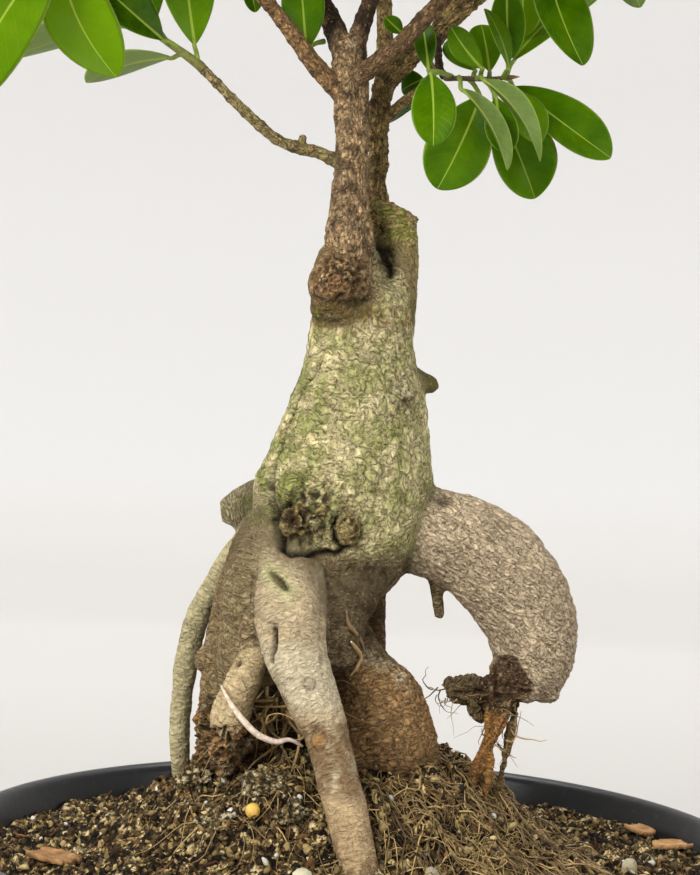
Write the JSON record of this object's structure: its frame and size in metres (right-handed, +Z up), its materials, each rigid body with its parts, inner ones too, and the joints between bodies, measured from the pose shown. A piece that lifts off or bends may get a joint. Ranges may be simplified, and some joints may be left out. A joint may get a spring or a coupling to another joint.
{
  "type": "potted bonsai tree",
  "caption": "Ginseng-type fig bonsai with a swollen trunk on bare thick roots, small glossy leaves, in a round black plastic nursery pan.",
  "frame": {"origin": "centre of the flat underside of the pan, on the surface it stands on", "axes": "+Z up along the trunk; the tree's broad face, with the front root, looks along -Y; +X is to the right, where the arched root is"},
  "size_m": [0.2523, 0.2324, 0.4711],
  "materials": {
    "black_plastic": "satin",
    "potting_mix": "matte",
    "root_bark": "matte",
    "stem_bark": "matte",
    "leaf": "satin",
    "bark_chip": "matte",
    "prill_coat": "satin"
  },
  "bodies": {
    "root": {"bark_chip_1": "bark_chip", "bark_chip_2": "bark_chip", "bark_chip_3": "bark_chip", "bark_chip_4": "bark_chip", "fertiliser_prill": "prill_coat", "leaf_single_1": "leaf", "leaf_single_2": "leaf", "leaf_single_3": "leaf", "leaf_spray_01": "leaf", "leaf_spray_02": "leaf", "leaf_spray_03": "leaf", "leaf_spray_04": "leaf", "leaf_spray_05": "leaf", "leaf_spray_06": "leaf", "leaf_spray_07": "leaf", "leaf_spray_08": "leaf", "leaf_spray_09": "leaf", "leaf_spray_10": "leaf", "leaf_spray_11": "leaf", "leaf_spray_12": "leaf", "leaf_spray_13": "leaf", "leaf_spray_14": "leaf", "leaf_spray_15": "leaf", "leaf_spray_16": "leaf", "leaf_spray_17": "leaf", "leaf_spray_18": "leaf", "leaf_spray_19": "leaf", "leaf_spray_20": "leaf", "leaf_spray_21": "leaf", "leaf_spray_22": "leaf", "leaf_spray_23": "leaf", "leaf_spray_24": "leaf", "leaf_spray_25": "leaf", "leaf_spray_behind_stem": "leaf", "leaf_spray_hanging": "leaf", "leaf_spray_left": "leaf", "leaf_spray_low_left": "leaf", "leaf_spray_right_drooping": "leaf", "leaf_spray_right_upper": "leaf", "pot": "black_plastic", "soil": "potting_mix", "stem_front": "stem_bark", "stem_rear": "stem_bark", "trunk": "root_bark"}
  },
  "joints": []
}
